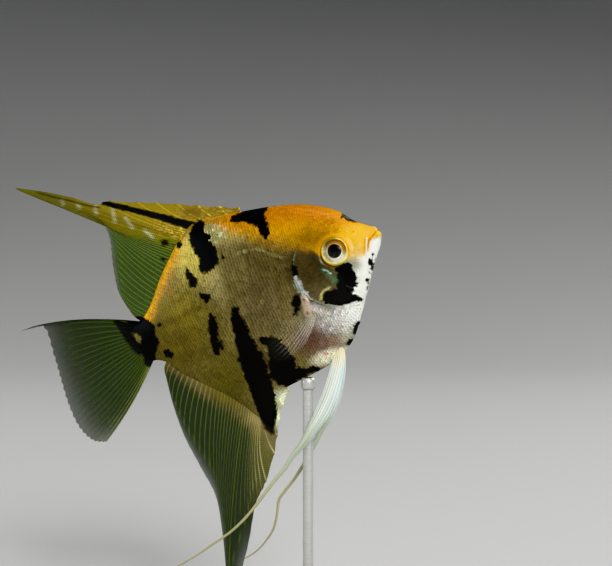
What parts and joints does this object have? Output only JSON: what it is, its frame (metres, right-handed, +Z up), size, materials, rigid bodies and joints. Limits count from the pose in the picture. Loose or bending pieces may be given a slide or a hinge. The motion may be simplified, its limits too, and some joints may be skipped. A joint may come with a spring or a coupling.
{
  "type": "freshwater angelfish model",
  "caption": "Still, life-size museum model of a koi-marked freshwater angelfish swimming head-up, on a flat base with one upright rod.",
  "frame": {"origin": "centre of the stand base's underside", "axes": "+Z up; +X the way the fish faces; +Y to the fish's left, its sagittal plane lies on y = 0"},
  "size_m": [0.1303, 0.056, 0.1393],
  "materials": {
    "skin": "wet satin scales, orange back, silver-tan flank, black blotches",
    "fin": "thin rayed membrane, olive and tan, translucent",
    "clear_fin": "clear rayed membrane",
    "pelvic_fin": "satin milk white",
    "eye": "glossy wet gold iris and black pupil",
    "stand_base": "satin black",
    "stand_rod": "brushed"
  },
  "bodies": {
    "root": {"head": "skin", "lower_jaw": "skin", "gill_cover_right": "skin", "gill_cover_left": "skin", "trunk": "skin", "tail_stalk": "skin", "eye_right": "eye", "eye_left": "eye", "dorsal_fin": "fin", "anal_fin": "fin", "tail_fin": "fin", "pectoral_fin_right": "clear_fin", "pectoral_fin_left": "clear_fin", "pelvic_fin_right": "pelvic_fin", "pelvic_fin_left": "pelvic_fin", "stand_base": "stand_base", "stand_rod": "stand_rod"}
  },
  "joints": []
}
